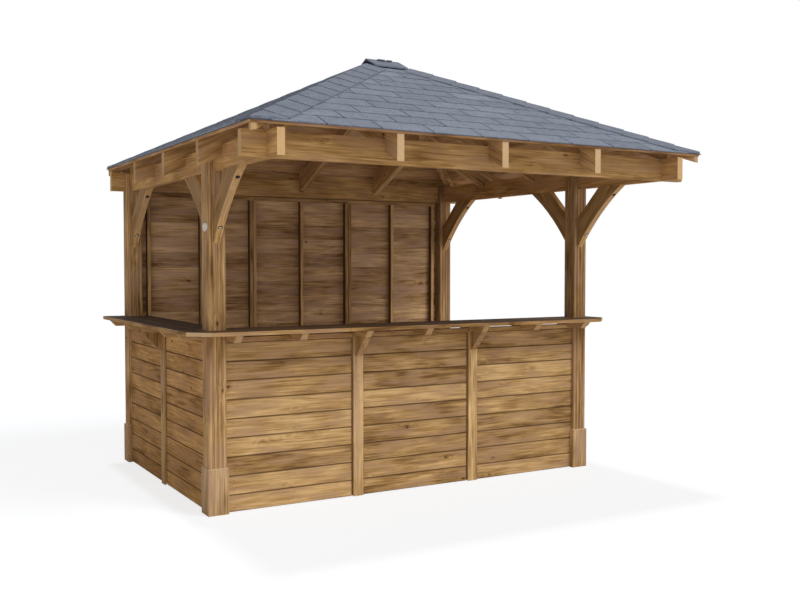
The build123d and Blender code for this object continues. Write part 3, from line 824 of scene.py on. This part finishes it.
# Back wall battens
# Narrow planed battens, two level and three upright in each bay, carry the back wall's boards.
# Their bays are as wide as the left wall's, the lower level ones are a quarter of the way up, and
# the sides of the upright ones carry painted shade.
batten_width = 0.028
batten_arris = 0.0015
batten_play = 0.002
level_batten_seed = 52
upright_batten_seed = 62


def batten(name, size, finish):
    """A squared batten about its own middle, with small arrises."""
    shape = bmesh.new()
    bmesh.ops.create_cube(shape, size=1)
    shape.transform(Matrix.Diagonal((*size, 1)))
    bmesh.ops.bevel(shape, geom=list(shape.edges), offset=batten_arris, segments=1, affect="EDGES")
    return kept_mesh(name, shape, finish)


framing = timber_finish("rail_timber_back", "x", planked=True)
framed_low, framed_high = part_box("rails_back")
framed = (framed_low + framed_high) / 2
depth = framed_high.y - framed_low.y
height = framed_high.z - framed_low.z
place = Matrix.Translation((framed.x, framed.y, framed_low.z)) @ Matrix.Rotation(pi, 4, "Z")
rail = batten("rail_back", (bay_width - panel_gap, depth, batten_width), framing)
sizes = {"Rows": 2, "Bays": wall_bays["back"], "Per bay": 1, "Row step": height - batten_width,
         "Height": height + height / 2 - batten_width, "Bay width": bay_width, "Spacing": 0.0,
         "Recess": 0.0, "Seed": level_batten_seed}
rails = wall_grid("battens_level_back", rail, framing, sizes)
stud = batten("stud_back", (batten_width, depth, height - batten_width * 2 - batten_play),
              upright_batten)
sizes.update({"Rows": 1, "Per bay": 3, "Row step": height, "Height": height,
              "Spacing": (bay_width - panel_gap - batten_width) / 2,
              "Seed": upright_batten_seed})
studs = wall_grid("battens_upright_back", stud, upright_batten, sizes)
for piece in (rails, studs):
    piece.data.transform(place)
ridden(rails, "rails_back")
ridden(studs, "studs_back")
for blank in (rail, stud):
    bpy.data.objects.remove(blank)

# Cover strips and capping
# Plain planed strips cover the joints between the panels, and a level board closes the top of
# each low panel.
dress(timber_finish("strip_timber", "z", level=(1.2, 1.28, 1.37)), "cover_strips")


def turned_behind_front(wire, place):
    """Swap X and Y behind the front panel, where the same kind of piece runs along the side."""
    x, y, z = place.split()
    behind = wire.sum("GREATER_THAN", y, left_post_high.y)
    swapped = wire.make("ShaderNodeCombineXYZ", {}, {0: y, 1: x, 2: z})
    return wire.make("ShaderNodeMix", {"data_type": "VECTOR"}, {0: behind, 4: place, 5: swapped}, 1)


dress(timber_finish("capping_timber", "x", guide=turned_behind_front, ends=0), "panel_caps")

# Counter
# Three planks run along the front and three along the left side, screwed down on short joists.
# The outer corners are cut off at an angle, so that a plank's pale end shows there.
plank_gap = 0.003
plank_arris = 0.003
mitre_gap = 0.0005
joint_from_bay = 0.16
front_low, front_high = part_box("counter_front")
left_low, left_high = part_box("counter_left")
joint_x = front_low.x
cut = joint_x - left_low.x
post_corner_x, post_inner_x = left_post_low.x, left_post_high.x
right_inner_x, right_outer_x = right_post_low.x, right_post_high.x
joint_at = roof_middle_x - (right_inner_x - post_inner_x) / 6 - joint_from_bay


def planks(name, outlines, heights, finish):
    """Planks cut to their outlines, with rounded arrises and a tone each."""
    whole = bmesh.new()
    whole.verts.layers.float.new("plank")
    for corners, tone in zip(outlines, tones(len(outlines), len(name))):
        shape = bmesh.new()
        lower = [shape.verts.new((x, y, heights[0])) for x, y in corners]
        upper = [shape.verts.new((x, y, heights[1])) for x, y in corners]
        rims = [shape.faces.new(upper), shape.faces.new(lower[::-1])]
        for i in range(len(corners)):
            j = (i + 1) % len(corners)
            shape.faces.new((lower[i], lower[j], upper[j], upper[i]))
        edges = [edge for rim in rims for edge in rim.edges]
        bmesh.ops.bevel(shape, geom=edges, offset=plank_arris, segments=2, profile=0.6,
                        affect="EDGES", clamp_overlap=True)
        layer = shape.verts.layers.float.new("plank")
        for corner in shape.verts:
            corner[layer] = tone
        mesh = bpy.data.meshes.new(name)
        shape.to_mesh(mesh)
        shape.free()
        whole.from_mesh(mesh)
        bpy.data.meshes.remove(mesh)
    return kept_mesh(name, whole, finish)


cut_y = front_low.y + cut
inner_y = front_high.y
second = cut_y + plank_gap
third = (cut_y + inner_y + plank_gap) / 2
second_edge = third - plank_gap
post_front_y, post_back_y = left_post_low.y, left_post_high.y
right_end = front_high.x
joint_start = joint_at - plank_gap / 2
joint_end = joint_at + plank_gap / 2
outer_row = [
    [(joint_x, front_low.y), (joint_start, front_low.y), (joint_start, cut_y), (joint_x, cut_y)],
    [(joint_end, front_low.y), (right_end - cut, front_low.y), (right_end, cut_y),
     (joint_end, cut_y)]]
middle_row = [
    (joint_x, second), (right_end, second), (right_end, second_edge), (right_outer_x, second_edge),
    (right_outer_x, post_front_y), (right_inner_x, post_front_y), (right_inner_x, second_edge),
    (post_inner_x, second_edge), (post_inner_x, post_front_y), (post_corner_x, post_front_y),
    (post_corner_x, second_edge), (joint_x, second_edge)]
inner_row = [
    (joint_x, third), (post_corner_x, third), (post_corner_x, post_back_y),
    (post_inner_x, post_back_y), (post_inner_x, third), (right_inner_x, third),
    (right_inner_x, post_back_y), (right_outer_x, post_back_y), (right_outer_x, third),
    (right_end, third), (right_end, inner_y), (joint_x, inner_y)]
# The counter planks' tops carry painted shade.
front_planks = planks("counter_planks_front", [*outer_row, middle_row, inner_row],
                      (front_low.z, front_high.z),
                      timber_finish("counter_timber_front", "x", planked=True, shaded_top=0.8))
back_end = left_high.y
back_post_y_low = back_post_low.y
inner_x = left_high.x
row_start = inner_y + plank_gap
second_x = joint_x + plank_gap
third_x = (joint_x + inner_x + plank_gap) / 2
second_end_x = third_x - plank_gap
left_rows = [
    [(left_low.x, cut_y), (joint_x - mitre_gap, front_low.y + mitre_gap),
     (joint_x - mitre_gap, back_end), (left_low.x, back_end)],
    [(second_x, row_start), (second_end_x, row_start), (second_end_x, back_post_y_low),
     (post_corner_x, back_post_y_low), (post_corner_x, back_end), (second_x, back_end)],
    [(third_x, row_start), (inner_x, row_start), (inner_x, back_post_y_low),
     (third_x, back_post_y_low)]]
left_planks = planks("counter_planks_left", left_rows, (left_low.z, left_high.z),
                     timber_finish("counter_timber_left", "y", planked=True, shaded_top=0.94))
ridden(front_planks, "counter_front")
ridden(left_planks, "counter_left")
grain_turns["across"] = (0, 0, -90)
joist_timber = timber_finish("joist_timber", "across", guide=turned_behind_front, ends=0.3)
dress(joist_timber, "counter_battens", "counter_cleats")
dress(timber_finish("bracket_timber", "z", level=(0.85, 0.85, 0.85), ends=0), "counter_brackets")

# Badge
# A bare oval plate of pale metal is pinned to the outer face of the near post, under the brace.
badge_half_height = 0.0275
badge_half_width = 0.0425
badge_thickness = 0.003
badge_sink = 0.001
badge_y = -0.46
badge_z = 1.771
badge_spot = (left_post_low.x, badge_y, badge_z)
shape = turned_shape([(0, badge_thickness), (0.9, badge_thickness), (0.97, badge_thickness * 0.8),
                      (1, badge_thickness * 0.4), (1, -badge_sink), (0, -badge_sink)], sides=40)
shape.transform(Matrix.Diagonal((badge_half_height, badge_half_width, 1, 1)))
shape.transform(Matrix.Translation(badge_spot) @ Matrix.Rotation(-pi / 2, 4, "Y"))
badge_metal = metal_finish("badge_metal", (0.62, 0.58, 0.50), rough=0.35, metallic=0.3)
badge = kept_mesh("bare_badge", shape, badge_metal)
ridden(badge)

# Floor and light
# A pale floor meets a white backdrop without a line. Soft lamps shine from the front right and
# overhead, and a white surround fills in the shade, most from the front, a little from the left.
floor_reach = 60
floor_glow = (0.76, 0.76, 0.76, 1)
floor_seen = (0.29, 0.3, 0.315, 1)
floor_unseen = (0.8, 0.8, 0.8, 1)
fill_from_front = 0.98
fill_from_back = 0.4
fill_from_left = 0.1
lamps = (("front_right_lamp", 1.15, 20, (0.406, -0.579, 0.707)),
         ("overhead_lamp", 0.9, 5, (0.0, 0.11, 0.99)))
floor_shape = bmesh.new()
bmesh.ops.create_grid(floor_shape, x_segments=1, y_segments=1, size=floor_reach)
floor_finish, wire, shader = blank_finish("pale_floor")
seen = wire.make("ShaderNodeLightPath", {}, {}, 0)
plug(floor_finish, wire.blend(seen, (0, 0, 0, 1), floor_glow), shader, "Emission Color")
plug(floor_finish, wire.blend(seen, floor_unseen, floor_seen), shader, "Base Color")
shader.inputs["Emission Strength"].default_value = 1.0
shader.inputs["Roughness"].default_value = 0.9
shader.inputs["Specular IOR Level"].default_value = 0.0
kept_mesh("floor", floor_shape, floor_finish)
for name, energy, spread, toward in lamps:
    lamp_data = bpy.data.lights.new(name, "SUN")
    lamp_data.energy = energy
    lamp_data.angle = radians(spread)
    lamp = bpy.data.objects.new(name, lamp_data)
    lamp.rotation_euler = Vector(toward).to_track_quat("Z", "Y").to_euler()
    bpy.context.collection.objects.link(lamp)
surround = bpy.data.worlds.new("surround")
bpy.context.scene.world = surround
surround.use_nodes = True
wire = Wire(surround.node_tree)
seen = wire.make("ShaderNodeLightPath", {}, {}, 0)
mirrored = Wire(wire.tree, seen.socket.node.outputs["Is Glossy Ray"])
white = wire.sum("MAXIMUM", seen, mirrored)
aside, ahead = wire.make("ShaderNodeTexCoord", {}, {}, 0).split()[:2]
leftward = wire.sum("MAXIMUM", aside * -fill_from_left, 0.0)
lengthwise = wire.sum("MAXIMUM", ahead * -fill_from_front, ahead * fill_from_back)
strength = wire.sum("MAXIMUM", lengthwise + leftward, white)
backdrop = surround.node_tree.nodes["Background"]
backdrop.inputs["Color"].default_value = (1, 1, 1, 1)
surround.node_tree.links.new(strength.socket, backdrop.inputs["Strength"])
